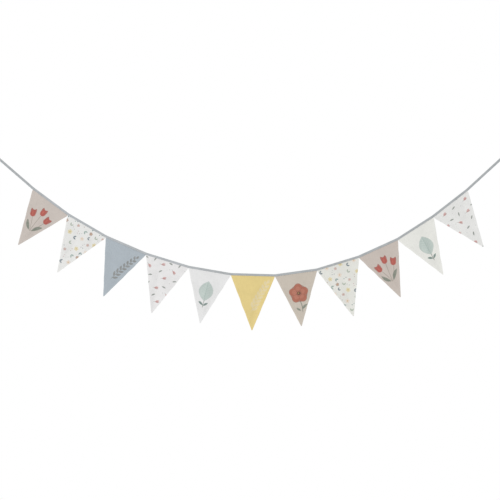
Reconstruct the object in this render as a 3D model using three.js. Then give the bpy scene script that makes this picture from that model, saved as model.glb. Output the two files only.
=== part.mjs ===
// Fabric bunting: printed cloth pennants sewn into one folded tape that hangs in a swag.
// Millimetres and degrees, +Z up, the front towards -Y.
// The origin is on the tape's top edge, above the middle of the middle pennant.
import * as THREE from 'three';

// The tape, one strip folded in half along its length over the pennants' top edges
const TAPE_WIDTH = 9;
const TAPE_WALL = 1;
const TAPE_COLOR = 0xacb1b5;
const BEND_LENGTH = 10; // the tape turns between two pennants over this length
const TAIL_GAP = 0.4; // between the two sides of the fold where it holds no pennant
const TAIL_TAPER = 12; // the fold closes to that gap over this length
const LEFT_TAIL = { slope: -40.9, length: 197 };
const RIGHT_TAIL = { slope: 42.5, length: 203 };

// The pennants' cloth
const CLOTH = 1.2;
const CLEARANCE = 0.3; // between a pennant and each side of the fold
const TUCK = 7; // the height of a pennant's top edge inside the fold
const PENNANT_GAP = 1.2; // between neighbours, at the tape
const TIP_RADIUS = 2; // the turned point
const FOLD_WIDTH = 18; // a soft fold, from its crest to its foot
const FOLD_START = 0.35; // the share of the drop over which a fold comes out of the tape
const FOLD_FADE = 0.7; // the share of a fold's depth that is lost on the way to the point
const FOLD_NARROWING = 0.5; // the share of its width that is lost there
const SWING_POWER = 1.5; // the swing grows with this power of the way down
const SLOPE_STEP = 0.5; // the distance over which the cloth's slope is measured

// How finely the cloth is faceted
const BEND_STEPS = 3;
const ROUND_STEPS = 4;
const COLUMNS = 8;
const ROWS = 13;
const TIP_ANGLES = [40, 75];

// How each pennant is cut and sewn, from left to right: the tape's rise to the right, the pennant's share of
// the tape, its width at the tape's lower edge, the drop from there to where its sides would meet, and how
// far its point lies to the right of its middle
const CUT = [
  { slope: -36.5, pitch: 161.0, width: 163, drop: 200, lean: -3, color: 0xc7bfb9 },
  { slope: -30.3, pitch: 161.5, width: 165, drop: 203, lean: -8, color: 0xe4e4e2 },
  { slope: -23.3, pitch: 162.0, width: 162, drop: 206, lean: -3, color: 0xadb5bb },
  { slope: -17.1, pitch: 164.0, width: 164, drop: 202, lean: 1, color: 0xe5e4e4 },
  { slope: -9.8, pitch: 158.5, width: 158, drop: 197, lean: -3, color: 0xe2e2e2 },
  { slope: -1.6, pitch: 163.0, width: 163, drop: 204, lean: 2, color: 0xe0cd8e },
  { slope: 7.9, pitch: 156.5, width: 157, drop: 198, lean: -7, color: 0xc3bbaf },
  { slope: 17.1, pitch: 161.0, width: 163, drop: 203, lean: -2, color: 0xdfdfda },
  { slope: 24.4, pitch: 158.5, width: 159, drop: 199, lean: 1, color: 0xc2bab2 },
  { slope: 32.7, pitch: 155.5, width: 158, drop: 200, lean: -7, color: 0xe2e2de },
  { slope: 37.8, pitch: 159.5, width: 162, drop: 202, lean: 0, color: 0xe2e2e0 },
];

// How each of them hangs: how far back its point swings and its right side turns, and a soft fold that runs
// from foldTop to foldFoot, as shares of the half width there, and stands foldDepth back
const HANG = [
  { swing: 8, twist: 5, foldTop: 0.35, foldFoot: -0.1, foldDepth: -4 },
  { swing: -6, twist: -4, foldTop: -0.3, foldFoot: 0.1, foldDepth: 4 },
  { swing: 5, twist: 3, foldTop: 0.25, foldFoot: 0.0, foldDepth: -3.5 },
  { swing: -8, twist: 5, foldTop: -0.35, foldFoot: -0.1, foldDepth: 4 },
  { swing: 6, twist: -5, foldTop: 0.3, foldFoot: 0.1, foldDepth: -4 },
  { swing: -5, twist: 3, foldTop: 0.7, foldFoot: 0.1, foldDepth: 5 },
  { swing: 7, twist: -4, foldTop: -0.3, foldFoot: 0.1, foldDepth: -3.5 },
  { swing: -7, twist: 4, foldTop: 0.2, foldFoot: -0.1, foldDepth: 4 },
  { swing: 5, twist: -3, foldTop: -0.25, foldFoot: 0.1, foldDepth: -4 },
  { swing: -6, twist: 5, foldTop: 0.4, foldFoot: 0.1, foldDepth: 4 },
  { swing: 8, twist: -5, foldTop: -0.35, foldFoot: 0.0, foldDepth: -4 },
];

const POCKET = CLOTH + 2 * CLEARANCE;
const { degToRad, smoothstep } = THREE.MathUtils;

function clothMaterial(color) {
  return new THREE.MeshStandardMaterial({ color, roughness: 0.9, metalness: 0 });
}

// A closed solid through loops of points that all have the same count and turn to the left about its length.
// startOutline and endOutline are the first and last loops laid flat, for their end faces.
function loft(loops, startOutline, endOutline) {
  const count = loops[0].length;
  const triangles = [];
  for (let i = 0; i + 1 < loops.length; i += 1) {
    for (let j = 0; j < count; j += 1) {
      const a = i * count + j;
      const b = i * count + ((j + 1) % count);
      triangles.push(a, b, a + count, b, b + count, a + count);
    }
  }
  const lastLoop = (loops.length - 1) * count;
  for (const [a, b, c] of THREE.ShapeUtils.triangulateShape(startOutline, [])) {
    triangles.push(a, c, b);
  }
  for (const [a, b, c] of THREE.ShapeUtils.triangulateShape(endOutline, [])) {
    triangles.push(lastLoop + a, lastLoop + b, lastLoop + c);
  }
  const geometry = new THREE.BufferGeometry().setFromPoints(loops.flat());
  geometry.setIndex(triangles);
  geometry.computeVertexNormals();
  return geometry;
}

// The ends of the tape's middle line and the corners between its straight runs, in the plane of X and Z
function tapeCorners() {
  const pennantRuns = CUT.map(({ slope, pitch }) => ({ slope, length: pitch }));
  const corners = [new THREE.Vector2()];
  for (const { slope, length } of [LEFT_TAIL, ...pennantRuns, RIGHT_TAIL]) {
    const angle = degToRad(slope);
    const step = new THREE.Vector2(Math.cos(angle), Math.sin(angle)).multiplyScalar(length);
    corners.push(corners.at(-1).clone().add(step));
  }
  const middle = (CUT.length - 1) / 2;
  const angle = degToRad(CUT[middle].slope);
  const toTopEdge = new THREE.Vector2(-Math.sin(angle), Math.cos(angle)).multiplyScalar(TAPE_WIDTH / 2);
  const origin = corners[middle + 1].clone().lerp(corners[middle + 2], 0.5).add(toTopEdge);
  return corners.map((corner) => corner.sub(origin));
}

function pointTowards(from, to, distance) {
  return to.clone().sub(from).setLength(distance).add(from);
}

// The folded strip's section, in depth and height from its middle line
function tapeSection(gap) {
  const inner = gap / 2;
  const outer = inner + TAPE_WALL;
  const bottom = -TAPE_WIDTH / 2;
  const foldCentre = TAPE_WIDTH / 2 - outer;
  const fold = (radius) => Array.from({ length: ROUND_STEPS + 1 }, (_, k) => {
    const angle = (Math.PI * k) / ROUND_STEPS;
    return new THREE.Vector2(radius * Math.cos(angle), foldCentre + radius * Math.sin(angle));
  });
  return [
    new THREE.Vector2(outer, bottom),
    ...fold(outer),
    new THREE.Vector2(-outer, bottom),
    new THREE.Vector2(-inner, bottom),
    ...fold(inner).reverse(),
    new THREE.Vector2(inner, bottom),
  ];
}

// The places along the tape where its section is set, each with its point, its direction and its gap
function tapeStations(corners) {
  const last = corners.length - 1;
  const halfBend = BEND_LENGTH / 2;
  const leftRun = corners[1].clone().sub(corners[0]);
  const rightRun = corners[last].clone().sub(corners[last - 1]);
  const taperStart = pointTowards(corners[1], corners[0], halfBend + TAIL_TAPER);
  const taperEnd = pointTowards(corners[last - 1], corners[last], halfBend + TAIL_TAPER);
  const stations = [
    { point: corners[0], angle: leftRun.angle(), gap: TAIL_GAP },
    { point: taperStart, angle: leftRun.angle(), gap: TAIL_GAP },
  ];
  for (let i = 1; i < last; i += 1) {
    const from = pointTowards(corners[i], corners[i - 1], halfBend);
    const to = pointTowards(corners[i], corners[i + 1], halfBend);
    const bend = new THREE.QuadraticBezierCurve(from, corners[i], to);
    for (let k = 0; k <= BEND_STEPS; k += 1) {
      const t = k / BEND_STEPS;
      stations.push({ point: bend.getPoint(t), angle: bend.getTangent(t).angle(), gap: POCKET });
    }
  }
  stations.push({ point: taperEnd, angle: rightRun.angle(), gap: TAIL_GAP });
  stations.push({ point: corners[last], angle: rightRun.angle(), gap: TAIL_GAP });
  return stations;
}

function makeTape(corners) {
  const loops = tapeStations(corners).map(({ point, angle, gap }) => tapeSection(gap).map(
    ({ x: depth, y: height }) => new THREE.Vector3(
      point.x - height * Math.sin(angle),
      depth,
      point.y + height * Math.cos(angle),
    ),
  ));
  const endOutline = tapeSection(TAIL_GAP);
  const tape = new THREE.Mesh(loft(loops, endOutline, endOutline), clothMaterial(TAPE_COLOR));
  tape.name = 'tape';
  return tape;
}

// Where the round of a pennant's point has its centre and where it starts, below the tape's lower edge
function tipRound(cut) {
  const side = Math.atan2(cut.width / 2, cut.drop);
  const centre = cut.drop - TIP_RADIUS / Math.sin(side);
  return { centre, start: centre + TIP_RADIUS * Math.sin(side) };
}

// A pennant's half width at a depth below the tape's lower edge: straight sides, clear of the neighbours at
// the top and round at the point
function halfWidth(cut, down) {
  const { centre, start } = tipRound(cut);
  if (down > start) {
    return Math.sqrt(Math.max(0, TIP_RADIUS ** 2 - (down - centre) ** 2));
  }
  const taper = (cut.width / 2) * (1 - Math.max(0, down) / cut.drop);
  return Math.min(taper, (cut.pitch - PENNANT_GAP) / 2);
}

// How far back the cloth stands at a place across and down the pennant
function clothDepth(cut, hang, across, down) {
  const share = Math.max(0, down) / cut.drop;
  const half = Math.max(halfWidth(cut, down), TIP_RADIUS);
  const crest = half * (hang.foldTop + (hang.foldFoot - hang.foldTop) * share);
  const spread = FOLD_WIDTH * (1 - FOLD_NARROWING * share);
  const fold = Math.exp(-(((across - crest) / spread) ** 2));
  const strength = smoothstep(share, 0, FOLD_START) * (1 - FOLD_FADE * share);
  const turn = (across / (cut.width / 2)) * smoothstep(share, 0, 1);
  return hang.swing * share ** SWING_POWER + hang.twist * turn + hang.foldDepth * strength * fold;
}

// A row of the pennant as a loop: along its rear from left to right and back along its front
function pennantLoop(cut, hang, down) {
  const half = halfWidth(cut, down);
  const middle = (cut.lean * Math.max(0, down)) / cut.drop;
  const front = [];
  const back = [];
  for (let k = 0; k <= COLUMNS; k += 1) {
    const across = half * ((2 * k) / COLUMNS - 1);
    const depth = clothDepth(cut, hang, across, down);
    const slopeAcross = (clothDepth(cut, hang, across + SLOPE_STEP, down) - depth) / SLOPE_STEP;
    const slopeDown = (clothDepth(cut, hang, across, down + SLOPE_STEP) - depth) / SLOPE_STEP;
    const offset = new THREE.Vector3(-slopeAcross, 1, slopeDown).setLength(CLOTH / 2);
    const point = new THREE.Vector3(middle + across, depth, -down);
    front.push(point.clone().sub(offset));
    back.push(point.clone().add(offset));
  }
  return [...back, ...front.reverse()];
}

function makePennant(cut, hang, index) {
  const { centre, start } = tipRound(cut);
  const rows = [-TUCK];
  for (let i = 0; i <= ROWS; i += 1) {
    rows.push((start * i) / ROWS);
  }
  for (const angle of TIP_ANGLES) {
    rows.push(centre + TIP_RADIUS * Math.sin(degToRad(angle)));
  }
  const loops = rows.map((down) => pennantLoop(cut, hang, down));
  const flat = (loop) => loop.map(({ x, y }) => new THREE.Vector2(y, x));
  const geometry = loft(loops, flat(loops[0]), flat(loops.at(-1)));
  const pennant = new THREE.Mesh(geometry, clothMaterial(cut.color));
  pennant.name = `pennant_${String(index + 1).padStart(2, '0')}`;
  return pennant;
}

function makePennants(corners) {
  const group = new THREE.Group();
  CUT.forEach((cut, index) => {
    const angle = degToRad(cut.slope);
    const middle = corners[index + 1].clone().lerp(corners[index + 2], 0.5);
    const pennant = makePennant(cut, HANG[index], index);
    pennant.position.set(
      middle.x + (TAPE_WIDTH / 2) * Math.sin(angle),
      0,
      middle.y - (TAPE_WIDTH / 2) * Math.cos(angle),
    );
    pennant.rotation.y = -angle;
    group.add(pennant);
  });
  return group;
}

const corners = tapeCorners();
const bunting = new THREE.Group();
bunting.add(makeTape(corners), makePennants(corners));

export default bunting;
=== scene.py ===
from collections import namedtuple
from math import atan2, ceil, cos, degrees, hypot, pi, radians, sin, sqrt

import bmesh
import bpy
import numpy as np
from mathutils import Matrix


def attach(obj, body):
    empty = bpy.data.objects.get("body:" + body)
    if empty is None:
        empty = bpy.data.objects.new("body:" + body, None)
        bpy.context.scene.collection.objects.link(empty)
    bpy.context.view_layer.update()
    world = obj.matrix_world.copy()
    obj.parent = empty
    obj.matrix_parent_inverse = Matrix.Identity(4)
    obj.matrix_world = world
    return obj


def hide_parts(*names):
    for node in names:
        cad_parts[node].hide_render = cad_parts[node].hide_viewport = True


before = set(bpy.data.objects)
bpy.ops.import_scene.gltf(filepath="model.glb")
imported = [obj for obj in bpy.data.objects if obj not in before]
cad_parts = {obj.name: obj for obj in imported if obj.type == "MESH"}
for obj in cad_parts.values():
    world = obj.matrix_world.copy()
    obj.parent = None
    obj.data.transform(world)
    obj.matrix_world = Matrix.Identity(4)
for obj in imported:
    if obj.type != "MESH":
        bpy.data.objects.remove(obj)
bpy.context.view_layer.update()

MM = 0.001


def table(columns, *rows):
    """Rows with named columns."""
    row = namedtuple("Row", columns)
    return [row(*values) for values in rows]


# The tape: one strip folded in half along its length over the pennants' top edges
TAPE_WIDTH = 9
TAPE_WALL = 0.6
TAPE_STEP = 1.0  # between two sections of the tape
BEND_LENGTH = 10  # the tape turns between two pennants over this length
BEND_STEPS = 12
POCKET = 1.3  # between the two sides of the fold, where it holds a pennant
TAIL_GAP = 0.3  # and where it holds none
TAIL_TAPER = 12  # the fold closes to that gap over this length
FRONT_SHORT = 0.7  # over the pennants the fold's front side ends this much above its back one
Run = namedtuple("Run", "slope length")
LEFT_TAIL = Run(-40.9, 197)
RIGHT_TAIL = Run(42.5, 203)

# The tape's stitching
STITCH_PITCH = 3.0
STITCH_LENGTH = 2.5
STITCH_RADIUS = 0.24
STITCH_RISE = 1.6  # above the tape's lower edge
STITCH_HEIGHT = STITCH_RISE - TAPE_WIDTH / 2
STITCH_TURN = 2.5  # how far out of line a stitch mostly lies
STITCH_SIDES = 6
STITCH_RINGS = (-1, -0.75, -0.3, 0.3, 0.75, 1)
STITCH_TAPER = 0.45  # the share of its radius that a stitch loses at its ends
STITCH_LIFT = 0.35  # its middle stands out by this share of the radius
STITCH_SINK = 1.1  # and its ends sink by this share
DENT_DEPTH = 0.2  # the thread draws the tape in by this much at its holes
DENT_EVEN = 0.6  # and on the average by this share
DENT_HALF = 0.4  # half of the dent's width
END_ROW = 4.0  # the rows of stitches across the tape stand this far from its ends
END_HEIGHTS = (-1.6, 0.9)

# The pennants' cloth
TUCK = 7  # the height of a pennant's top edge inside the fold
PENNANT_GAP = 1.2  # between neighbours, at the tape
TIP_RADIUS = 2  # the turned point
FOLD_WIDTH = 18  # a soft fold, from its crest to its foot
FOLD_START = 0.35  # the share of the drop over which a fold comes out of the tape
FOLD_FADE = 0.7  # the share of a fold's depth that is lost on the way to the point
FOLD_NARROWING = 0.5  # the share of its width that is lost there
SWING_POWER = 1.5  # the swing grows with this power of the way down

# How each pennant is cut and sewn, from left to right: the tape's rise to the right, the pennant's
# share of the tape, its width at the tape's lower edge, the drop from there to where its sides would
# meet, and how far its point lies to the right of its middle
CUT = table(
    "slope pitch width drop lean",
    (-36.5, 161.0, 163, 200, -3),
    (-30.3, 161.5, 165, 203, -8),
    (-23.3, 162.0, 162, 206, -3),
    (-17.1, 164.0, 164, 202, 1),
    (-9.8, 158.5, 158, 197, -3),
    (-1.6, 163.0, 163, 204, 2),
    (7.9, 156.5, 157, 198, -7),
    (17.1, 161.0, 163, 203, -2),
    (24.4, 158.5, 159, 199, 1),
    (32.7, 155.5, 158, 200, -7),
    (37.8, 159.5, 162, 202, 0),
)

# How each of them hangs: how far back its point swings and its right side turns, and a soft fold that
# runs from fold_top to fold_foot, as shares of the half width there, and stands fold_depth back
HANG = table(
    "swing twist fold_top fold_foot fold_depth",
    (8, 5, 0.35, -0.1, -4),
    (-6, -4, -0.3, 0.1, 4),
    (5, 3, 0.25, 0.0, -3.5),
    (-8, 5, -0.35, -0.1, 4),
    (6, -5, 0.3, 0.1, -4),
    (-5, 3, 0.7, 0.1, 5),
    (7, -4, -0.3, 0.1, -3.5),
    (-7, 4, 0.2, -0.1, 4),
    (5, -3, -0.25, 0.1, -4),
    (-6, 5, 0.4, 0.1, 4),
    (8, -5, -0.35, 0.0, -4),
)

# Lesser creases, each a soft trough (or a ridge, if its depth is negative) along one line of its pennant
CREASES = table(
    "pennant across down turn length width depth",
    (1, -34, 46, 62, 70, 7, 0.8), (1, 8, 120, 75, 70, 6, -0.6),
    (2, 30, 40, -58, 66, 7, -0.8), (2, -6, 96, 84, 80, 6, 0.7),
    (3, -38, 44, -64, 72, 8, 0.8), (3, 4, 128, 80, 64, 6, 0.6),
    (4, 34, 52, 66, 76, 7, 0.8), (4, -22, 34, -40, 48, 6, -0.5),
    (5, -30, 50, -70, 76, 8, 0.8), (5, 10, 118, 82, 60, 6, -0.6),
    (6, -12, 58, 4, 96, 7, 0.7), (6, -28, 84, -66, 70, 7, -0.6),
    (7, 30, 44, 60, 66, 7, 0.8), (7, -4, 130, 86, 58, 6, 0.6),
    (8, -32, 48, -62, 70, 7, -0.8), (8, 12, 100, 76, 70, 6, 0.6),
    (9, 32, 56, 68, 72, 7, 0.8), (9, -14, 108, -80, 66, 6, -0.6),
    (10, -36, 42, -56, 66, 7, -0.7), (10, 6, 112, 84, 72, 6, 0.7),
    (11, 28, 50, 64, 76, 7, 0.8), (11, -10, 116, -82, 60, 6, 0.6),
)

# The two layers of a pennant, sewn round the sides and turned out
CLOTH_HALF = 0.5  # half of the thickness inside the seams
SEAM_HALF = 0.75  # half of it over the turned-in allowance
ALLOWANCE_START = 5.4  # the step down at the allowance's cut edge, measured from the side
ALLOWANCE_END = 7.0
PRESSED_LENGTH = 6  # the tape's stitching presses the seams flat down to here
TIP_BULK = 0.35  # the corner folded in at the point stands this much prouder on each side
TIP_BULK_LENGTH = 15
EDGE_STEPS = (0, 0.2, 0.55, 1.0, 1.8, 3.2, 4.8, 5.6, 6.3, 7.0, 8.6)
INNER_STEPS = 22  # from the last edge step to the pennant's middle
ROW_STEPS = 82
TUCK_STEPS = 3
TIP_ANGLES = (38, 52, 66, 80)

# Uneven lines: how far they rise, and their shortest and longest waves
Uneven = namedtuple("Uneven", "height shortest longest")
PUFFS = Uneven(0.06, 25, 70)  # in the tape's sides
LIPS = Uneven(0.1, 18, 60)  # along its lower edges
GATHERS = Uneven(0.35, 11, 26)  # in a pennant below the tape
PUCKERS = Uneven(0.26, 8, 16)  # along its seams
RIPPLES = Uneven(0.4, 38, 95)  # all over it
STRAYS = Uneven(0.45, 36, 90)  # of its sewn sides from their lines
PUFF_REACH = 4  # up and down from the middle of the tape's side
GATHER_REACH = 14
PUCKER_REACH = 4.5
RIPPLE_WAYS = 4  # the directions in which ripples run

# They set in between these places below the tape, and strays end between these above the point
GATHERS_FROM = (0, 6)
PUCKERS_FROM = (4, 18)
RIPPLES_FROM = (2, 45)
CREASES_FROM = (0, 25)
STRAYS_FROM = (4, 30)
STRAYS_TO = (15, 40)

# Where the random draws start
TAPE_SEED = 7
STITCH_SEED = 11
PENNANT_SEED = 100

# Where a piece's surface lies in its picture, as shares of the picture
SHEET = "OFBake"
SHEET_EDGE = 0.01  # the margin all round
FRONT_SHARE = 0.92  # of the width, for a pennant's front: its back lies the other way up
CAP_STEP = 0.006  # the narrow faces between front and back, at top edge and point
TAPE_BANDS = 12  # the tape is cut into this many bands, one above the other
BAND_EDGE = 0.06  # the margin between them, as a share of a band
END_SHARE = 0.6  # the height of the tape's end faces, as a share of a band
END_PLACES = (0.018, 0.034)
STITCH_SHARE = 0.25  # all stitches lie on the same place, this wide and high
STITCH_EDGE = 0.03  # the margin there, as a share of that place


def smooth(value, low, high):
    share = np.clip((value - low) / (high - low), 0, 1)
    return share * share * (3 - 2 * share)


def direction(turn):
    """A unit step, turned anticlockwise from the right."""
    return np.array([cos(radians(turn)), sin(radians(turn))])


def paired(first, second):
    return np.stack(np.broadcast_arrays(first, second), axis=-1)


def ripple(random, uneven, waves=3):
    """An uneven smooth line: a few sine waves of random length and start."""
    lengths = random.uniform(uneven.shortest, uneven.longest, waves)
    starts = random.uniform(0, 2 * pi, waves)

    def height(at):
        total = sum(np.sin(2 * pi * at / length + start) for length, start in zip(lengths, starts))
        return uneven.height * total / sqrt(waves)

    return height


def two_ripples(random, uneven, side, at):
    """One uneven line where side is negative, and another where it isn't."""
    first = ripple(random, uneven)(at)
    second = ripple(random, uneven)(at)
    return np.where(side < 0, first, second)


def new_object(name, data):
    made = bpy.data.objects.new(name, data)
    bpy.context.collection.objects.link(made)
    return made


def new_piece(name, points, faces, maps, corner_maps):
    """A smooth closed mesh from points in millimetres, with flat maps by point and by face corner."""
    mesh = bpy.data.meshes.new(name)
    mesh.from_pydata((np.asarray(points) * MM).tolist(), [], faces)
    corners = np.empty(len(mesh.loops), dtype=int)
    mesh.loops.foreach_get("vertex_index", corners)
    places = {key: flat[corners] for key, flat in maps.items()} | corner_maps
    for key, place in places.items():
        mesh.uv_layers.new(name=key).data.foreach_set("uv", place.ravel())
    shape = bmesh.new()
    shape.from_mesh(mesh)
    bmesh.ops.recalc_face_normals(shape, faces=shape.faces)
    shape.to_mesh(mesh)
    shape.free()
    mesh.shade_smooth()
    return new_object(name, mesh)


def ring_faces(rows, ring):
    """Quads between closed loops of points, one loop after the other."""
    following = [*range(1, ring), 0]
    return [(start + k, start + after, start + ring + after, start + ring + k)
            for start in range(0, (rows - 1) * ring, ring) for k, after in enumerate(following)]


def tube_faces(rows, ring):
    """The same, with one face over each end."""
    last = (rows - 1) * ring
    return [*ring_faces(rows, ring), tuple(range(ring)), tuple(range(last, last + ring))]


# The tape

def tape_corners():
    """The ends of the tape's middle line and the corners between its straight runs, in X and Z."""
    corners = [np.zeros(2)]
    for slope, length in (LEFT_TAIL, *(cut[:2] for cut in CUT), RIGHT_TAIL):
        corners.append(corners[-1] + length * direction(slope))
    middle = len(CUT) // 2
    top = (corners[middle + 1] + corners[middle + 2]) / 2
    top = top + TAPE_WIDTH / 2 * direction(CUT[middle].slope + 90)
    return [corner - top for corner in corners]


def towards(start, end, distance):
    return start + (end - start) * (distance / np.linalg.norm(end - start))


Line = namedtuple("Line", "along x z angle gap")


def tape_line(corners):
    """Places along the tape, a small step apart, with its direction and the gap inside its fold."""
    half = BEND_LENGTH / 2
    points = [corners[0]]
    for before, corner, after in zip(corners, corners[1:], corners[2:]):
        start = towards(corner, before, half)
        end = towards(corner, after, half)
        for t in np.linspace(0, 1, BEND_STEPS + 1):
            points.append((1 - t) ** 2 * start + 2 * t * (1 - t) * corner + t ** 2 * end)
    points = np.array([*points, corners[-1]])
    lengths = np.linalg.norm(np.diff(points, axis=0), axis=1)
    reached = np.concatenate([[0], np.cumsum(lengths)])
    along = np.linspace(0, reached[-1], round(reached[-1] / TAPE_STEP) + 1)
    x = np.interp(along, reached, points[:, 0])
    z = np.interp(along, reached, points[:, 1])
    angle = np.arctan2(np.gradient(z), np.gradient(x))
    first = LEFT_TAIL.length - half
    last = reached[-1] - RIGHT_TAIL.length + half
    gap = np.interp(along, [first - TAIL_TAPER, first, last, last + TAIL_TAPER],
                    [TAIL_GAP, POCKET, POCKET, TAIL_GAP])
    return Line(along, x, z, angle, gap)


# The folded strip's outer face: heights above its middle line, and how far it stands proud there
TAPE_FACE = [(STITCH_HEIGHT + rise, 0) for rise in (-0.7, -0.3, 0, 0.3, 0.7)]
TAPE_FACE += [(-1.4, 0.06), (0, 0.12), (1.4, 0.06)]
INNER_FOLD = np.radians((0, 45, 90))
OUTER_FOLD = np.radians((0, 22, 45, 68, 90))
ROUND_LIP = np.radians((0, 45, 90, 135, 180))


def tape_section(gap):
    """The folded strip's section: a closed loop of depths and heights, from inside the fold."""
    inner = gap / 2
    outer = inner + TAPE_WALL
    bottom = -TAPE_WIDTH / 2
    fold = TAPE_WIDTH / 2 - outer
    lip = TAPE_WALL / 2
    half = [(inner * sin(t), fold + inner * cos(t)) for t in INNER_FOLD]
    half += [(inner + lip - lip * cos(t), bottom + lip - lip * sin(t)) for t in ROUND_LIP]
    half += [(outer + proud, height) for height, proud in TAPE_FACE]
    half += [(outer * cos(t), fold + outer * sin(t)) for t in OUTER_FOLD]
    mirrored = [(-depth, height) for depth, height in half[-2:0:-1]]
    return np.array([*half, *mirrored])


def tape_sheet(steps, around, end):
    """Bands of the tape, one above the other, with its two end faces after the last one."""
    step = np.arange(steps)
    band_steps = ceil(steps / TAPE_BANDS)
    band = (step // band_steps)[:, None] + BAND_EDGE
    low, high = ((band + (1 - 2 * BAND_EDGE) * side) / TAPE_BANDS for side in (around[:-1], around[1:]))
    step_width = (1 - 2 * SHEET_EDGE) / band_steps
    left = SHEET_EDGE + (step % band_steps)[:, None] * step_width
    right = left + step_width
    quads = [paired(left, low), paired(left, high), paired(right, high), paired(right, low)]
    faces = end * (END_SHARE / TAPE_BANDS / TAPE_WIDTH)
    ends = [faces + (right[-1, 0] + place, 1 - 0.5 / TAPE_BANDS) for place in END_PLACES]
    return np.concatenate([np.stack(quads, axis=2).reshape(-1, 2), *ends])


def make_tape(line):
    random = np.random.default_rng(TAPE_SEED)
    narrow = tape_section(TAIL_GAP)
    wide = tape_section(POCKET)
    share = ((line.gap - TAIL_GAP) / (POCKET - TAIL_GAP))[:, None]
    section = narrow + (wide - narrow) * share[:, :, None]
    depth = section[:, :, 0]
    height = section[:, :, 1]
    along = line.along[:, None]
    side = np.sign(depth)
    outside = np.abs(depth) > (line.gap / 2 + TAPE_WALL / 2)[:, None]
    row = np.exp(-((height - STITCH_HEIGHT) / DENT_HALF) ** 2)
    holes = DENT_EVEN + (1 - DENT_EVEN) * np.cos(2 * pi * along / STITCH_PITCH)
    puff = two_ripples(random, PUFFS, side, along) * np.clip(1 - np.abs(height) / PUFF_REACH, 0, 1)
    depth = depth + side * outside * (puff - DENT_DEPTH * row * holes)
    lip = two_ripples(random, LIPS, side, along) + FRONT_SHORT * (side < 0) * share
    height = height + lip * smooth(-height, -STITCH_HEIGHT, TAPE_WIDTH / 2)
    x = line.x[:, None] - height * np.sin(line.angle)[:, None]
    z = line.z[:, None] + height * np.cos(line.angle)[:, None]
    points = np.stack([x, depth, z], axis=-1).reshape(-1, 3)
    loop = np.vstack([wide, wide[:1]])
    around = np.concatenate([[0], np.cumsum(np.linalg.norm(np.diff(loop, axis=0), axis=1))])
    flat = paired(along, around[:-1] - around[-1] / 2).reshape(-1, 2)
    faces = tube_faces(*depth.shape)
    sheet = tape_sheet(len(along) - 1, around / around[-1], narrow)
    return new_piece("tape_cloth", points, faces, {"cloth": flat}, {SHEET: sheet})


def stitch_shape():
    """One thread stitch: its places along, out and up, as rings from end to end."""
    rings = []
    for t in STITCH_RINGS:
        radius = STITCH_RADIUS * (1 - STITCH_TAPER * t ** 4)
        lift = STITCH_RADIUS * (STITCH_LIFT - STITCH_SINK * t ** 4)
        for turn in np.arange(STITCH_SIDES) * 2 * pi / STITCH_SIDES:
            rings.append((t * STITCH_LENGTH / 2, lift + radius * cos(turn), radius * sin(turn)))
    return np.array(rings)


def stitch_maps():
    """Where the corners of one stitch's faces lie on its thread, rolled out, and in the picture."""
    turns = np.arange(STITCH_SIDES + 1) / STITCH_SIDES
    rolled = []
    for start, end in zip(STITCH_RINGS, STITCH_RINGS[1:]):
        for low, high in zip(turns, turns[1:]):
            rolled += [(start, low), (start, high), (end, high), (end, low)]
    ends = [(end, turn) for end in (-1, 1) for turn in turns[:-1]]
    thread = np.array([*rolled, *ends]) * (STITCH_LENGTH / 2, 1)
    body = STITCH_EDGE + (1 - 2 * STITCH_EDGE) * (np.array(rolled) * (0.5, 1) + (0.5, 0))
    caps = [(0.5 + end * (0.5 - STITCH_EDGE / 2), 0.5) + STITCH_EDGE / 3 * direction(360 * turn)
            for end, turn in ends]
    return thread, STITCH_SHARE * np.concatenate([body, caps])


def make_stitches(line):
    """A row of stitches along each side of the tape, and short rows across its ends."""
    random = np.random.default_rng(STITCH_SEED)
    shape = stitch_shape()
    total = line.along[-1]
    places = [(at, STITCH_HEIGHT, 0) for at in np.arange(STITCH_PITCH / 2, total - 1, STITCH_PITCH)]
    places += [(at, height, 90) for at in (END_ROW, total - END_ROW) for height in END_HEIGHTS]
    points = []
    for side in (-1, 1):
        for at, height, turn in places:
            x, z, slope, gap = (np.interp(at, line.along, row) for row in line[1:])
            lie = slope + radians(turn + random.normal(0, STITCH_TURN))
            out = gap / 2 + TAPE_WALL
            if not turn:
                out -= DENT_EVEN * DENT_DEPTH
            points.append(np.stack([
                x - height * sin(slope) + shape[:, 0] * cos(lie) - shape[:, 2] * sin(lie),
                side * (out + shape[:, 1]),
                z + height * cos(slope) + shape[:, 0] * sin(lie) + shape[:, 2] * cos(lie),
            ], axis=-1))
    one = tube_faces(len(STITCH_RINGS), STITCH_SIDES)
    starts = range(0, len(points) * len(shape), len(shape))
    faces = [tuple(start + corner for corner in face) for start in starts for face in one]
    thread, sheet = (np.tile(corners, (len(points), 1)) for corners in stitch_maps())
    return new_piece("tape_stitches", np.concatenate(points), faces, {}, {"cloth": thread, SHEET: sheet})


# The pennants

def tip_round(cut):
    """Where the round of a pennant's point has its centre and starts, below the tape."""
    side = atan2(cut.width / 2, cut.drop)
    centre = cut.drop - TIP_RADIUS / sin(side)
    return centre, centre + TIP_RADIUS * sin(side)


def half_width(cut, down):
    centre, start = tip_round(cut)
    tip = np.sqrt(np.maximum(0, TIP_RADIUS ** 2 - (down - centre) ** 2))
    taper = cut.width / 2 * (1 - np.maximum(0, down) / cut.drop)
    return np.where(down > start, tip, np.minimum(taper, (cut.pitch - PENNANT_GAP) / 2))


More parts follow.
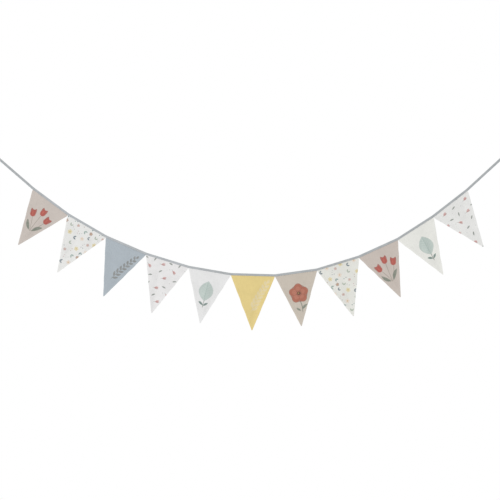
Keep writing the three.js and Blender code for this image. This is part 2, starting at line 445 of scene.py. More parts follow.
def cloth_depth(cut, hang, across, down):
    """How far back the cloth stands at a place across and down the pennant."""
    share = np.maximum(0, down) / cut.drop
    half = np.maximum(half_width(cut, down), TIP_RADIUS)
    crest = half * (hang.fold_top + (hang.fold_foot - hang.fold_top) * share)
    spread = FOLD_WIDTH * (1 - FOLD_NARROWING * share)
    fold = np.exp(-((across - crest) / spread) ** 2)
    strength = smooth(share, 0, FOLD_START) * (1 - FOLD_FADE * share)
    turn = across / (cut.width / 2) * smooth(share, 0, 1)
    return hang.swing * share ** SWING_POWER + hang.twist * turn + hang.fold_depth * strength * fold


def crease_depth(crease, across, down):
    cosine, sine = direction(crease.turn)
    right = across - crease.across
    up = crease.down - down
    along = right * cosine + up * sine
    aside = up * cosine - right * sine
    trough = np.exp(-(aside / crease.width) ** 2) * np.exp(-(along / (crease.length / 2)) ** 4)
    return crease.depth * trough * smooth(down, *CREASES_FROM)


def wrinkle_depth(random, across, down, edge):
    """Gathers under the tape, puckers along the seams and soft ripples all over."""
    gathers = ripple(random, GATHERS)(across) * np.exp(-np.maximum(down, 0) / GATHER_REACH)
    puckers = two_ripples(random, PUCKERS, across, down) * np.exp(-edge / PUCKER_REACH)
    ripples = 0
    for way in random.uniform(0, pi, RIPPLE_WAYS):
        wave = ripple(random, RIPPLES, waves=1)
        ripples = ripples + wave(across * cos(way) + down * sin(way)) / sqrt(RIPPLE_WAYS)
    return (gathers * smooth(down, *GATHERS_FROM) + puckers * smooth(down, *PUCKERS_FROM)
            + ripples * smooth(down, *RIPPLES_FROM))


def half_thickness(cut, edge, down):
    """Round at the side, thicker over the allowance and at the point."""
    pressed = 1 - smooth(down, 0, PRESSED_LENGTH)
    inside = np.maximum(smooth(edge, ALLOWANCE_START, ALLOWANCE_END), pressed)
    seam = SEAM_HALF + (CLOTH_HALF - SEAM_HALF) * inside
    bulk = TIP_BULK * smooth(down, cut.drop - TIP_BULK_LENGTH, cut.drop - TIP_BULK_LENGTH / 2)
    rolled = np.clip(1 - edge / SEAM_HALF, 0, 1)
    return (seam + bulk) * np.sqrt(1 - rolled ** 2)


def pennant_rows(cut):
    """Distances below the tape, from the tucked edge to the point."""
    centre, start = tip_round(cut)
    tuck = np.linspace(-TUCK, 0, TUCK_STEPS + 1)[:-1]
    body = np.linspace(0, start, ROW_STEPS + 1)
    tip = centre + TIP_RADIUS * np.sin(np.radians(TIP_ANGLES))
    return np.concatenate([tuck, body, tip])[:, None]


def pennant_columns(half):
    """Each row's distances from the left side, close together over the seams."""
    edge = np.array(EDGE_STEPS) * np.minimum(1, half / (2 * EDGE_STEPS[-1]))
    inner = np.linspace(edge[:, -1], half[:, 0], INNER_STEPS + 1, axis=1)[:, 1:]
    left = np.concatenate([edge, inner], axis=1)
    return np.concatenate([left, 2 * half - left[:, -2::-1]], axis=1)


def cap_faces(columns):
    """The faces between front and back at top edge or point, by their places in the loop."""
    ring = 2 * columns - 2
    between = [(k, k + 1, ring - k - 1, ring - k) for k in range(1, columns - 2)]
    return [(0, 1, ring - 1), *between, (columns - 2, columns - 1, columns)]


def looped(front, back):
    """Rows that run across the front and return over the back."""
    return np.concatenate([front, back[:, -2:0:-1]], axis=1)


def pennant_sheet(cut, place, down):
    """A pennant's front and back as two right-angled triangles that fill the picture."""
    share = (down + TUCK) / (cut.drop + TUCK)
    front = SHEET_EDGE + paired(FRONT_SHARE * place / cut.width, (1 - 2 * SHEET_EDGE) * share)
    back = 1 - front
    starts = np.concatenate([front[:, :-1], back[:, :0:-1]], axis=1)
    ends = np.concatenate([front[:, 1:], back[:, -2::-1]], axis=1)
    quads = np.stack([starts[:-1], ends[:-1], ends[1:], starts[1:]], axis=2)
    caps = []
    for row, step in ((front[:1], -CAP_STEP), (front[-1:], CAP_STEP)):
        loop = looped(row, row + (0, step))[0]
        caps += [loop[list(face)] for face in cap_faces(row.shape[1])]
    return np.concatenate([quads.reshape(-1, 2), *caps])


def make_pennant(index, cut, hang, cloth, corners):
    random = np.random.default_rng(PENNANT_SEED + index)
    down = pennant_rows(cut)
    half = half_width(cut, down)
    place = pennant_columns(half)
    across = place - half
    slant = cos(atan2(cut.width / 2, cut.drop))
    edge = np.minimum(place, 2 * half - place) * slant
    depth = cloth_depth(cut, hang, across, down) + wrinkle_depth(random, across, down, edge)
    for crease in CREASES:
        if crease.pennant == index:
            depth = depth + crease_depth(crease, across, down)
    thick = half_thickness(cut, edge, down)
    stray = two_ripples(random, STRAYS, across, down) * np.sign(across) * (across / half) ** 2
    stray = stray * smooth(down, *STRAYS_FROM) * smooth(cut.drop - down, *STRAYS_TO)
    local = across + stray + cut.lean * np.maximum(down, 0) / cut.drop
    right = direction(cut.slope)
    fall = direction(cut.slope - 90)
    middle = (corners[index] + corners[index + 1]) / 2 + TAPE_WIDTH / 2 * fall
    x, z = (middle[k] + local * right[k] + down * fall[k] for k in (0, 1))
    points = looped(*(np.stack([x, depth + side * thick, z], axis=-1) for side in (-1, 1)))
    flat = paired(local + cloth.shift_across, -down - cloth.shift_down)
    seam = paired(edge, down)
    maps = {key: looped(side, side).reshape(-1, 2) for key, side in (("cloth", flat), ("seam", seam))}
    rows, ring = points.shape[:2]
    faces = ring_faces(rows, ring)
    for start in (0, (rows - 1) * ring):
        faces += [tuple(start + corner for corner in face) for face in cap_faces(across.shape[1])]
    sheet = pennant_sheet(cut, place, down)
    return new_piece(f"pennant_{index:02d}_cloth", points.reshape(-1, 3), faces, maps, {SHEET: sheet})


# Colours, as six hexadecimal sRGB digits

def linear(code):
    """A colour as linear light."""
    channels = [int(code[k:k + 2], 16) / 255 for k in (0, 2, 4)]
    light = [c / 12.92 if c <= 0.04045 else ((c + 0.055) / 1.055) ** 2.4 for c in channels]
    return (*light, 1)


INK = dict(
    berry="b5635a", berry_dark="984a42", berry_light="c9786c",
    twig="8a8478", leaf="7c8478", leaf_dark="5f6a60", pine="67807a",
    sage="b8c4bf", sage_dark="93a8a1", sage_light="c8d3ce",
    terracotta="b06f5c", terracotta_dark="905649", terracotta_light="cb8f7c", umber="5c4a42",
    olive="858480", cream="dfd3b4", bud="cb9c98", bud_dark="b38682", dash="8d938c",
    yellow="ddd1a8", honey="c3a463", peach="e2d4c8", pink="c8adab", rust="ae9287",
    moss="a3ae9f", teal="6f8b8c", navy="66757f", grey="b3b5b4",
)


# Prints. A motif is one soft-edged shape on the flat cloth, measured from the middle of the tape's lower
# edge, or from a repeat's upper left corner. It is turned anticlockwise, and bend bows its length.
Motif = namedtuple("Motif", "shape across down turn long wide bend ink cover")


def away(across, down, turn, distance):
    """The place at a distance from another one, in the direction of turn."""
    right, up = distance * direction(turn)
    return across + right, down - up


def veined_leaf(across, down, turn, long, wide, bend, ink):
    return [
        Motif("leaf", across, down, turn, long, wide, bend, ink, 0.92),
        Motif("stem", across, down, turn, 0.86 * long, 1.1, bend, "leaf_dark", 0.6),
    ]


def tulip(across, down, lean):
    """A tulip's head, which leans to the right: two outer petals, a cup, and petals before it."""
    upright = 90 - lean

    def petal(shape, aside, up, turn, long, wide, bend, ink, cover):
        place = away(*away(across, down, upright, up), -lean, aside)
        return Motif(shape, *place, upright + turn, long, wide, bend, ink, cover)

    return [
        petal("leaf", -6, 1, 13, 32, 14, -2, "berry_dark", 0.9),
        petal("leaf", 6, 1, -13, 32, 14, 2, "berry_dark", 0.9),
        petal("disc", 0, -5, 0, 19, 21, 0, "berry", 0.95),
        petal("leaf", -4.5, 0, 7, 29, 12, -1, "berry", 0.9),
        petal("leaf", 4.5, 0, -7, 29, 12, 1, "berry", 0.9),
        petal("leaf", 0, -1, 0, 29, 14, 0, "berry_dark", 0.5),
        petal("leaf", 0, -1.5, 0, 26, 11.5, 0, "berry", 0.9),
        petal("leaf", -1.2, -1, 3, 19, 4, 0.4, "berry_light", 0.5),
    ]


def sprig():
    """Three tulips on thin stalks that meet between two leaves."""
    return [
        Motif("stem", -14, 102, -66, 62, 1.7, 2, "twig", 0.85),
        Motif("stem", 1, 94, 88, 76, 1.7, 1, "twig", 0.85),
        Motif("stem", 15, 100, 64, 66, 1.7, -2, "twig", 0.85),
        *veined_leaf(-18, 112, -50, 42, 12, -3, "leaf"),
        *veined_leaf(19, 110, 52, 44, 12.5, 3, "leaf"),
        *tulip(-29, 67, -18),
        *tulip(2, 45, 3),
        *tulip(31, 63, 20),
    ]


def side_twig(ink, cover, leaf_long, leaf_wide):
    """A thin bowed twig with small leaves on both sides, along the pennant's right side."""
    top_across, top_down = 53, 27
    foot_across, foot_down = -6, 137
    stem_wide, bow = 1.6, 2.5
    leaves, lowest, splay, shrink, leaf_bend = 15, 0.1, 38, 0.35, 0.8
    right = top_across - foot_across
    rise = foot_down - top_down
    turn = degrees(atan2(rise, right))
    motifs = [Motif("stem", foot_across + right / 2, foot_down - rise / 2, turn, hypot(right, rise),
                    stem_wide, bow, ink, cover)]
    for k in range(leaves):
        share = lowest + (1 - lowest) * k / (leaves - 1)
        side = 1 if k % 2 else -1
        long = leaf_long * (1 - shrink * share)
        lean = turn + side * splay * (share < 1)
        stand = bow * (1 - (2 * share - 1) ** 2)
        foot = away(foot_across + right * share, foot_down - rise * share, turn + 90, stand)
        place = away(*foot, lean, long / 2)
        motifs.append(Motif("leaf", *place, lean, long, leaf_wide, leaf_bend * side, ink, cover))
    return motifs


def broad_leaf():
    """One broad pale leaf with its veins, upright on a dark stalk between two leaflets."""
    middle, long, wide, lean = 73, 74, 52, 86
    motifs = [
        Motif("leaf", 0, middle, lean, long + 2, wide + 2, 1, "sage_dark", 0.55),
        Motif("leaf", 0, middle, lean, long - 1, wide - 2, 1, "sage", 0.95),
        Motif("leaf", -9, middle + 2, lean - 8, 0.7 * long, 0.4 * wide, 2, "sage_light", 0.5),
        Motif("stem", 0, middle + 2, lean, 0.94 * long, 1.5, 1, "sage_dark", 0.85),
    ]
    for share in (-0.6, -0.34, -0.08, 0.18, 0.44):
        reach = 0.42 * wide * (1 - share * share)
        for side in (-1, 1):
            motifs.append(Motif("stem", side * 0.45 * reach, middle - share * long / 2 - 0.3 * reach,
                                side * 34, reach, 0.9, 1.2, "sage_dark", 0.6))
    return motifs + [
        Motif("stem", -3, 122, 84, 27, 2.2, 1.2, "leaf_dark", 0.9),
        *veined_leaf(-14, 120, -36, 22, 8, 1, "pine"),
        *veined_leaf(5, 122, 38, 21, 8, 1, "pine"),
    ]


def round_flower():
    """One round flower with broad petals and a dark eye, on a leafy stalk."""
    middle, size, petals, stamens = 73, 74, 5, 11
    motifs = [
        Motif("stem", 3, 122, -84, 44, 2.6, 3, "leaf_dark", 0.9),
        *veined_leaf(16, 124, 38, 27, 9, 1.5, "leaf"),
        *veined_leaf(-8, 131, -40, 20, 7.5, -1, "leaf"),
        Motif("disc", 0, middle, 0, 0.86 * size, 0.86 * size, 0, "terracotta_dark", 0.8),
        Motif("petals", 0, middle, 18, size, size, 0, "terracotta_dark", 0.8),
        Motif("petals", 0, middle, 18, size - 3, size - 3, 0, "terracotta", 0.95),
        Motif("petals", -1, middle - 1, 18, 0.66 * size, 0.66 * size, 0, "terracotta_light", 0.35),
    ]
    for k in range(petals):
        turn = 54 + 360 / petals * k
        motifs.append(Motif("stem", *away(0, middle, turn, 0.2 * size), turn, 0.22 * size, 1.4, 0,
                            "terracotta_dark", 0.75))
        for lean in (turn + 19, turn + 53):
            motifs.append(Motif("stem", *away(0, middle, lean, 0.3 * size), lean, 0.16 * size, 0.9, 0.6,
                                "terracotta_dark", 0.45))
    motifs.append(Motif("disc", 0, middle, 0, 15, 14, 0, "umber", 0.9))
    for k in range(stamens):
        place = away(0, middle, 360 / stamens * k, 10.5)
        motifs.append(Motif("disc", *place, 0, 2.4, 2.4, 0, "umber", 0.85))
    motifs.append(Motif("disc", -1.2, middle - 1.2, 0, 6, 5.5, 0, "honey", 0.6))
    return motifs


def bud(across, down, turn):
    """A small bud of two petals on a short stalk."""
    return [
        Motif("leaf", across, down, turn + 12, 17, 7, 1.2, "bud", 0.95),
        Motif("leaf", *away(across, down + 1.6, turn, 1), turn - 14, 15, 6, -1, "bud_dark", 0.8),
        Motif("stem", *away(across, down, turn, -10), turn, 8, 1.3, 0.5, "dash", 0.8),
    ]


BUD_REPEAT = (94, 90)


def buds():
    """Small red buds and grey-green leaves strewn over a repeat."""
    motifs = bud(20, 22, 12) + bud(66, 40, -38) + bud(38, 70, 20)
    for place in ((46, 13, -12), (17, 50, 42), (78, 72, 18), (80, 12, 65)):
        motifs += veined_leaf(*place, 16, 5.5, 0.8, "dash")
    for place in ((48, 34), (10, 82), (62, 84)):
        motifs.append(Motif("disc", *place, 0, 3, 3, 0, "grey", 0.8))
    return motifs


# Places in the repeat of a small print: across, down, turn, size and ink
DITSY_REPEAT = (104, 100)
FLOWERS = [
    (20, 20, 10, 17, "yellow"), (72, 77, 30, 18, "yellow"), (58, 15, 0, 17, "peach"),
    (20, 78, 40, 16, "peach"), (40, 46, 15, 14, "rust"), (88, 42, 50, 12, "pink"),
    (50, 88, 5, 12, "pink"),
]
LEAF_PAIRS = [
    (88, 14, 35, 12, "moss"), (14, 48, -30, 13, "sage_dark"), (62, 56, 70, 12, "moss"),
    (40, 24, -65, 11, "teal"), (92, 88, 10, 13, "navy"), (36, 66, 15, 11, "navy"),
]
DOT_PAIRS = [
    (74, 32, 20, 9, "teal"), (6, 32, 80, 8, "rust"), (78, 58, -40, 9, "grey"), (6, 64, 30, 8, "grey"),
    (36, 6, 0, 8, "navy"), (36, 94, 60, 8, "grey"), (98, 64, 90, 8, "pink"),
]
LEAF_SPLAY = 30


def ditsy():
    """Tiny flowers, leaf pairs and dots strewn over a repeat."""
    motifs = []
    for across, down, turn, size, ink in FLOWERS:
        motifs.append(Motif("petals", across, down, turn, size, size, 0, ink, 0.95))
        motifs.append(Motif("disc", across, down, 0, 0.3 * size, 0.28 * size, 0, "honey", 0.75))
    for across, down, turn, size, ink in LEAF_PAIRS:
        for side in (-1, 1):
            lean = turn + LEAF_SPLAY * side
            place = away(across, down, lean, size / 2)
            motifs.append(Motif("leaf", *place, lean, size, 0.42 * size, 0.4 * side, ink, 0.95))
    for across, down, turn, size, ink in DOT_PAIRS:
        for side in (-1, 1):
            place = away(across, down, turn, side * size / 2)
            motifs.append(Motif("disc", *place, 0, 0.42 * size, 0.38 * size, 0, ink, 0.95))
    return motifs


# Each pennant's cloth, from left to right: its slot, which begins its material's name, its ground
# colour, its print, the print's repeat if it has one, and how far the cut was shifted on the printed
# cloth
Cloth = namedtuple("Cloth", "slot ground print repeat shift_across shift_down", defaults=(None, 0, 0))
# The left pennants' ground colours are a little lighter than those of the same cloths further right:
# partly painted light, brighter towards the left, and partly the cloths' own tone
CLOTH = [
    Cloth("beige_sprig", "c9c0b9", sprig),
    Cloth("white_ditsy", "e6e6e4", ditsy, DITSY_REPEAT, 12, 30),
    Cloth("blue_twig", "adb6bd", lambda: side_twig("olive", 0.85, 22, 8)),
    Cloth("white_bud", "e6e5e5", buds, BUD_REPEAT, 30, 8),
    Cloth("white_leaf", "e4e4e4", broad_leaf),
    Cloth("yellow", "e1cc8b", lambda: side_twig("cream", 0.7, 26, 10.5)),
    Cloth("beige_flower", "c6bdb1", round_flower),
    Cloth("white_ditsy", "e1e1db", ditsy, DITSY_REPEAT, 64, 76),
    Cloth("beige_sprig", "c5bbb3", sprig),
    Cloth("white_leaf", "e4e4df", broad_leaf),
    Cloth("white_bud", "e4e4e2", buds, BUD_REPEAT, 78, 54),
]
TAPE_COLOUR = "a7abad"
TAPE_PALE = "b6babe"
TAPE_RUBBED = "c2c5c7"
THREAD_COLOUR = "d0d3d5"
THREAD_SHADE = "9ca2a6"
FLOOR_COLOURS = ("f6f6f5", "f9f9f8")
WHITE = (1, 1, 1, 1)


# Shader nodes

class Value:
    """A node's output. Sums with it add further nodes."""

    def __init__(self, nodes, socket):
        self.nodes = nodes
        self.socket = socket

    def __add__(self, other):
        return self.nodes.math("ADD", self, other)

    def __sub__(self, other):
        return self.nodes.math("SUBTRACT", self, other)

    def __rsub__(self, other):
        return self.nodes.math("SUBTRACT", other, self)

    def __mul__(self, other):
        return self.nodes.math("MULTIPLY", self, other)

    def __pow__(self, other):
        return self.nodes.math("POWER", self, other)

    def __abs__(self):
        return self.nodes.math("ABSOLUTE", self)


class Nodes:
    """Adds nodes to one tree and hands back their outputs."""

    def __init__(self, tree):
        self.tree = tree

    def add(self, kind, inputs, output=0, **settings):
        node = self.tree.nodes.new(kind)
        for name, value in settings.items():
            setattr(node, name, value)
        for key, value in inputs.items():
            if isinstance(value, Value):
                self.tree.links.new(value.socket, node.inputs[key])
            else:
                node.inputs[key].default_value = value
        return Value(self, node.outputs[output]) if len(node.outputs) else None

    def math(self, operation, *values):
        return self.add("ShaderNodeMath", dict(enumerate(values)), operation=operation)

    def vector(self, operation, *values, output=0):
        return self.add("ShaderNodeVectorMath", dict(enumerate(values)), output, operation=operation)

    def length(self, vector):
        return self.vector("LENGTH", vector, output="Value")

    def split(self, vector):
        x = self.add("ShaderNodeSeparateXYZ", {0: vector})
        return x, Value(self, x.socket.node.outputs[1])

    def laid_out(self, name):
        """Places on one of the mesh's flat maps."""
        return self.add("ShaderNodeUVMap", {}, uv_map=name)

    def mapped(self, vector, scale, turn=0, shift=(0, 0), kind="POINT"):
        inputs = {"Vector": vector, "Location": (*shift, 0), "Rotation": (0, 0, radians(turn)),
                  "Scale": (*scale, 1)}
        return self.add("ShaderNodeMapping", inputs, vector_type=kind)

    def ramp(self, value, low, high, bottom, top):
        """A smooth step from bottom to top while value goes from low to high."""
        inputs = {"Value": value, "From Min": low, "From Max": high, "To Min": bottom, "To Max": top}
        return self.add("ShaderNodeMapRange", inputs, interpolation_type="SMOOTHSTEP")

    def mix(self, share, first, second, blend="MIX"):
        inputs = {0: share, 6: first, 7: second}
        return self.add("ShaderNodeMix", inputs, 2, data_type="RGBA", blend_type=blend)

    def noise(self, vector, scale, detail, output=0):
        inputs = {"Vector": vector, "Scale": scale, "Detail": detail}
        return self.add("ShaderNodeTexNoise", inputs, output, noise_dimensions="2D")

    def patches(self, vector, scale, detail, *step):
        return self.ramp(self.noise(vector, scale, detail), *step)

    def wavered(self, vector, scale, distance):
        """The same places, each moved a little by a soft noise."""
        noise = self.noise(vector, scale, 3, "Color")
        centred = self.vector("SUBTRACT", noise, (0.5, 0.5, 0))
        return self.vector("ADD", vector, self.vector("MULTIPLY", centred, (distance, distance, 0)))


GROUP_SOCKETS = [
    ("Place", "INPUT", "NodeSocketVector"),
    ("Bend", "INPUT", "NodeSocketFloat"),
    ("Value", "OUTPUT", "NodeSocketFloat"),
]


def node_group(name, build):
    """A group that turns a place, and a bend, into one number."""
    group = bpy.data.node_groups.new(name, "ShaderNodeTree")
    for socket, way, kind in GROUP_SOCKETS:
        group.interface.new_socket(socket, in_out=way, socket_type=kind)
    nodes = Nodes(group)
    inside = group.nodes.new("NodeGroupInput").outputs[:2]
    made = build(nodes, *(Value(nodes, socket) for socket in inside))
    group.links.new(made.socket, group.nodes.new("NodeGroupOutput").inputs[0])
    return group


STEM_SQUARENESS = 6  # the higher, the blunter a stroke's ends
PETAL_NOTCH = 0.36  # the depth of the notches between petals, as a share of the radius
PETAL_ROUNDNESS = 0.7


def leaf_shape(nodes, place, bend):
    """Positive inside a pointed leaf that is two units long and two wide."""
    x, y = nodes.split(place)
    bulge = 1 - x * x
    return bulge - abs(y - bend * bulge)


def stem_shape(nodes, place, bend):
    """Positive inside a stroke with round ends that is two units long and two wide."""
    x, y = nodes.split(place)
    square = x * x
    return 1 - abs(y - bend * (1 - square)) - square ** STEM_SQUARENESS


def disc_shape(nodes, place, bend):
    """Positive inside a disc of unit radius."""
    return 1 - nodes.length(place)


def petals_shape(nodes, place, bend):
    """Positive inside five round petals of unit radius."""
    x, y = nodes.split(place)
    turn = nodes.math("ARCTAN2", y, x)
    lobes = abs(nodes.math("COSINE", turn * (5 / 2)))
    reach = lobes ** PETAL_ROUNDNESS * PETAL_NOTCH + (1 - PETAL_NOTCH)
    return reach - nodes.length(place)


def weave_height(nodes, place, bend):
    """A plain weave with one thread to each unit: the higher of the two threads at a crossing."""
    warp, weft = (nodes.math("COSINE", way * pi) for way in nodes.split(place))
    over = warp * weft * 0.5
    return nodes.math("MAXIMUM", abs(warp) * (over + 0.5), abs(weft) * (0.5 - over))


SHAPES = {name: node_group(name, build) for name, build in (
    ("leaf", leaf_shape), ("stem", stem_shape), ("disc", disc_shape), ("petals", petals_shape))}
WEAVE = node_group("weave", weave_height)

# The cloth's materials
THREAD_WIDTH = 0.6  # of the pennants' weave
TAPE_THREAD_WIDTH = 0.45
TAPE_BIAS = 45  # the tape's strip is cut slantwise
THREAD_WAVER = 1.2  # how far a thread strays, in threads
THREAD_WAVER_SCALE = 0.2
SLUB_SCALE = (0.03, 1.1)  # of thick and thin places along a thread, and from thread to thread
SLUB_SHIFT = (7, 3)  # between the threads that run down and those that run across
SLUB_DETAIL = 3
SLUB_RELIEF = 0.8
HAND_WAVER = 1.1  # how far a drawn edge strays
HAND_WAVER_SCALE = 0.09
INK_BLEED = 0.7  # the softness of a printed edge
RUBBED_WHITE = 0.4  # the share of white in the colour of a rubbed side
THREAD_TWIST = 2.2  # turns of the sewing thread in a millimetre
THREAD_PLIES = 2
RELIEF = 0.0002  # of the weave, in metres
SPECULAR = 0.25
SHEEN_ROUGHNESS = 0.5

# Patches: a noise's scale and detail, and what its low and high values become
Patches = namedtuple("Patches", "scale detail low high bottom top")
FADING = Patches(0.018, 3, 0.3, 0.7, 0.975, 1.02)  # the cloth's brightness
INK_WASH = Patches(0.12, 4, 0.3, 0.7, 0.8, 1)  # how fully the ink covers
SIDE_WEAR = Patches(0.15, 3, 0.4, 0.65, 0, 1)  # where a pennant's side is rubbed
TAPE_WEAR = Patches(0.05, 4, 0.35, 0.7, 0, 0.25)  # how far the tape is rubbed
FLOOR_CLOUDS = Patches(1.5, 3, 0.3, 0.7, 0, 1)

# Smooth steps: what a low and a high value become
Step = namedtuple("Step", "low high bottom top")
SLUB_LIGHT = Step(0.35, 0.65, 0.97, 1.025)  # brightness from thin to thick threads
# painted shade: the colour is darker in the gaps between the threads
WEAVE_LIGHT = Step(0, 0.7, 0.95, 1.02)  # brightness from the gaps to the tops of the threads
WEAVE_INK = Step(0.05, 0.5, 0.8, 1)  # how the ink covers there
PENNANT_ROUGHNESS = Step(0, 0.7, 0.95, 0.84)  # roughness there
TAPE_ROUGHNESS = Step(0, 0.7, 0.93, 0.82)
SIDE_RUB = Step(0.2, 1.6, 0.35, 0)  # how much a side is rubbed, by the distance from it
ALLOWANCE_LIGHT = Step(ALLOWANCE_START, ALLOWANCE_END, 1.012, 1)
# painted shadow: a darker line beside the allowance's cut edge
ALLOWANCE_SHADE = Step(0, 1, 0.985, 1)  # brightness beside the allowance's cut edge
PALE_STRETCH_FROM = Step(130, 300, 0.2, 0.7)  # how much paler the tape is, by the place along it
PALE_STRETCH_TO = Step(800, 1010, 1, 0.1)
FOLD_RUB = Step(0, 2.2, 0.35, 0)  # how much it is rubbed, by the distance from its fold
FOLD_THREADS = Step(0.4, 0.6, 0, 1)  # and by the thickness of its threads
# painted shade: the tape is darker along the line of stitches
GROOVE_SHADE = Step(0, 0.7, 0.93, 1)  # its brightness beside the line of stitches
# painted shade: THREAD_SHADE fills the grooves between the plies
PLY_COLOUR = Step(0.1, 0.8, 0, 1)  # from the grooves of the sewing thread to its plies
PLY_ROUGHNESS = Step(0, 1, 0.75, 0.55)


def emptied(block):
    block.use_nodes = True
    block.node_tree.nodes.clear()
    return Nodes(block.node_tree)


def new_material(name):
    material = bpy.data.materials.new(name)
    return material, emptied(material)


def finish(nodes, inputs):
    shader = nodes.add("ShaderNodeBsdfPrincipled", inputs)
    nodes.add("ShaderNodeOutputMaterial", {"Surface": shader})


def finish_cloth(nodes, colour, height, roughness, sheen, bump):
    relief = {"Height": height, "Strength": bump, "Distance": RELIEF}
    finish(nodes, {
        "Base Color": colour,
        "Roughness": roughness,
        "Normal": nodes.add("ShaderNodeBump", relief),
        "Specular IOR Level": SPECULAR,
        "Sheen Weight": sheen,
        "Sheen Roughness": SHEEN_ROUGHNESS,
    })


def finish_woven(nodes, colour, weave, slub, roughness):
    height = weave + slub * SLUB_RELIEF
    finish_cloth(nodes, colour, height, nodes.ramp(weave, *roughness), sheen=0.15, bump=0.45)


def woven(nodes, flat, thread, turn=0):
    """The weave's height at each place, and a slow change from thread to thread."""
    lie = nodes.mapped(flat, (1, 1), turn) if turn else flat
    threads = nodes.mapped(lie, (1 / thread, 1 / thread))
    threads = nodes.wavered(threads, THREAD_WAVER_SCALE, THREAD_WAVER)
    weave = nodes.add("ShaderNodeGroup", {0: threads}, node_tree=WEAVE)
    along = nodes.noise(nodes.mapped(lie, SLUB_SCALE), 1, SLUB_DETAIL)
    down = nodes.noise(nodes.mapped(lie, SLUB_SCALE[::-1], shift=SLUB_SHIFT), 1, SLUB_DETAIL)
    return weave, (along + down) * 0.5


def shaded(nodes, colour, flat, weave, slub, seam):
    """Faded patches, uneven threads, painted shade in the gaps between them, and the seam's brightness.
    """
    light = nodes.patches(flat, *FADING) * nodes.ramp(slub, *SLUB_LIGHT)
    light = light * nodes.ramp(weave, *WEAVE_LIGHT) * seam
    grey = nodes.add("ShaderNodeCombineXYZ", {0: light, 1: light, 2: light})
    return nodes.mix(1, colour, grey, "MULTIPLY")


def printed(nodes, ground, flat, cloth, weave):
    """Lays the print's motifs on the ground colour as thin uneven ink."""
    drawn = nodes.wavered(flat, HAND_WAVER_SCALE, HAND_WAVER)
    if cloth.repeat:
        wide, high = cloth.repeat
        drawn = nodes.vector("WRAP", drawn, (wide, 0, 1), (0, -high, 0))
    taken = nodes.patches(flat, *INK_WASH) * nodes.ramp(weave, *WEAVE_INK)
    colour = ground
    for motif in cloth.print():
        size = (motif.long / 2, motif.wide / 2)
        unit = nodes.mapped(drawn, size, motif.turn, (motif.across, -motif.down), "TEXTURE")
        place = {0: unit, 1: 2 * motif.bend / motif.wide}
        inside = nodes.add("ShaderNodeGroup", place, node_tree=SHAPES[motif.shape])
        soft = INK_BLEED / motif.wide
        mask = nodes.ramp(inside, -soft, soft, 0, motif.cover)
        colour = nodes.mix(mask * taken, colour, linear(INK[motif.ink]))
    return colour


def rubbed_edge(nodes, colour, ground, flat, edge):
    """The turned side is rubbed paler here and there."""
    worn = nodes.ramp(edge, *SIDE_RUB) * nodes.patches(flat, *SIDE_WEAR)
    pale = tuple((1 - RUBBED_WHITE) * channel + RUBBED_WHITE for channel in ground)
    return nodes.mix(worn, colour, pale)


def seam_light(nodes, edge):
    """The turned-in allowance shows faintly through, with a painted shadow line at its cut edge."""
    beside = abs(edge - ALLOWANCE_END)
    return nodes.ramp(edge, *ALLOWANCE_LIGHT) * nodes.ramp(beside, *ALLOWANCE_SHADE)


def pennant_material(name, cloth):
    material, nodes = new_material(name)
    flat = nodes.laid_out("cloth")
    edge, _ = nodes.split(nodes.laid_out("seam"))
    weave, slub = woven(nodes, flat, THREAD_WIDTH)
    ground = linear(cloth.ground)
    colour = printed(nodes, ground, flat, cloth, weave)
    colour = rubbed_edge(nodes, colour, ground, flat, edge)
    colour = shaded(nodes, colour, flat, weave, slub, seam_light(nodes, edge))
    finish_woven(nodes, colour, weave, slub, PENNANT_ROUGHNESS)
    return material


def tape_material():
    """A plain bias-cut weave, paler along one stretch, rubbed along its fold, and with painted shade
    along the line of stitches.
    """
    material, nodes = new_material("tape_weave")
    flat = nodes.laid_out("cloth")
    weave, slub = woven(nodes, flat, TAPE_THREAD_WIDTH, TAPE_BIAS)
    along, across = nodes.split(flat)
    from_fold = abs(across)
    pale_stretch = nodes.ramp(along, *PALE_STRETCH_FROM) * nodes.ramp(along, *PALE_STRETCH_TO)
    ground = nodes.mix(pale_stretch, linear(TAPE_COLOUR), linear(TAPE_PALE))
    fold = nodes.ramp(from_fold, *FOLD_RUB) * nodes.ramp(slub, *FOLD_THREADS)
    ground = nodes.mix(nodes.patches(flat, *TAPE_WEAR) + fold, ground, linear(TAPE_RUBBED))
    fold_radius = POCKET / 2 + TAPE_WALL
    stitch_row = TAPE_WIDTH / 2 - STITCH_HEIGHT + fold_radius * (pi / 2 - 1)
    # painted shade along the groove that the stitches draw in
    groove = nodes.ramp(abs(from_fold - stitch_row), *GROOVE_SHADE)
    colour = shaded(nodes, ground, flat, weave, slub, groove)
    finish_woven(nodes, colour, weave, slub, TAPE_ROUGHNESS)
    return material


def thread_material():
    """Sewing thread of two plies, whose twist runs round each stitch, with painted shade in the grooves
    between the plies.
    """
    material, nodes = new_material("thread_twist")
    along, around = nodes.split(nodes.laid_out("cloth"))
    twist = along * THREAD_TWIST + around * THREAD_PLIES
    plies = abs(nodes.math("SINE", twist * pi))
    colour = nodes.mix(nodes.ramp(plies, *PLY_COLOUR), linear(THREAD_SHADE), linear(THREAD_COLOUR))
    finish_cloth(nodes, colour, plies, nodes.ramp(plies, *PLY_ROUGHNESS), sheen=0.1, bump=0.5)
    return material


# The studio

FLOOR_HEIGHT = -1.35
FLOOR_SIZE = 5.0
FLOOR_ROUGHNESS = 0.8
FLOOR_GLOW = 0.09  # makes the floor as bright as the surroundings
LENS = 100
SENSOR = 36
FRAME_WIDTH = 1.85  # of the photograph, in metres at the bunting
FRAME_CENTRE = (-0.0111, 0.0, 0.0875)
BACKDROP_LIGHT = 0.72  # what the white surroundings give, with white as 1
LAMP_SPREAD = 30  # degrees across
LAMPS = table(
    "name place strength",
    ("key", (-2.4, -3.4, 2.6), 0.98),
    ("back_fill", (2.8, 3.2, 2.2), 0.8),
)


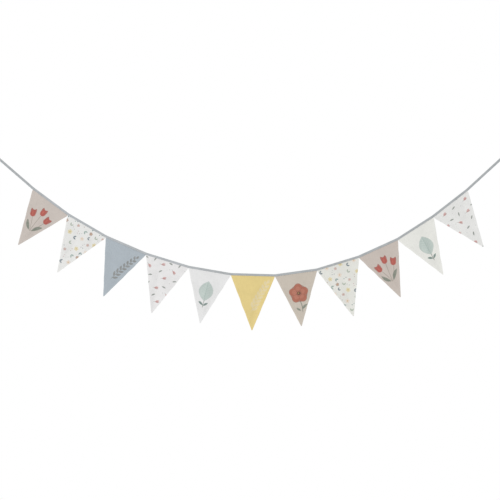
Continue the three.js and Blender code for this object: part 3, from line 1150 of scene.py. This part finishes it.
def make_floor():
    mesh = bpy.data.meshes.new("floor")
    half = FLOOR_SIZE / 2
    corners = [(-half, -half), (half, -half), (half, half), (-half, half)]
    mesh.from_pydata([(x, y, FLOOR_HEIGHT) for x, y in corners], [], [(0, 1, 2, 3)])
    material, nodes = new_material("floor_paint")
    place = nodes.add("ShaderNodeTexCoord", {}, "Object")
    colour = nodes.mix(nodes.patches(place, *FLOOR_CLOUDS), *(linear(code) for code in FLOOR_COLOURS))
    finish(nodes, {
        "Base Color": colour,
        "Roughness": FLOOR_ROUGHNESS,
        "Emission Color": WHITE,
        "Emission Strength": FLOOR_GLOW,
    })
    mesh.materials.append(material)
    new_object("floor", mesh)


def make_light():
    world = bpy.data.worlds.new("studio")
    nodes = emptied(world)
    seen = nodes.add("ShaderNodeLightPath", {}, "Is Camera Ray")
    backdrop = nodes.ramp(seen, 0, 1, BACKDROP_LIGHT, 1)
    light = nodes.add("ShaderNodeBackground", {"Color": WHITE, "Strength": backdrop})
    nodes.add("ShaderNodeOutputWorld", {"Surface": light})
    bpy.context.scene.world = world
    for name, place, strength in LAMPS:
        sun = bpy.data.lights.new(name, "SUN")
        sun.angle = radians(LAMP_SPREAD)
        sun.energy = strength
        lamp = new_object(name, sun)
        lamp.location = place
        lamp.rotation_euler = (-lamp.location).to_track_quat("-Z", "Y").to_euler()


def make_camera():
    camera = new_object("camera", bpy.data.cameras.new("camera"))
    camera.data.lens = LENS
    camera.data.sensor_width = SENSOR
    distance = FRAME_WIDTH * LENS / SENSOR
    x, y, z = FRAME_CENTRE
    camera.location = (x, y - distance, z)
    camera.rotation_euler = (pi / 2, 0, 0)
    scene = bpy.context.scene
    scene.camera = camera
    scene.view_settings.view_transform = "Standard"
    scene.view_settings.look = "None"


# The bunting

def dress(piece, material):
    piece.data.materials.append(material)
    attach(piece, "root")


def make_bunting():
    corners = tape_corners()
    line = tape_line(corners)
    tape = make_tape(line)
    dress(tape, tape_material())
    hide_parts("tape")
    stitches = make_stitches(line)
    dress(stitches, thread_material())
    line.along[-1] * MM
    for index, (cut, hang, cloth) in enumerate(zip(CUT, HANG, CLOTH), start=1):
        pennant = make_pennant(index, cut, hang, cloth, corners)
        dress(pennant, pennant_material(f"{cloth.slot}_{index:02d}", cloth))
        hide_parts(f"pennant_{index:02d}")
        length = cut.drop + TUCK
        area = cut.width * cut.drop / 2 + cut.width * TUCK
        cut.width * MM
        length * MM
        area * MM * MM


make_camera()
make_light()
make_floor()
make_bunting()
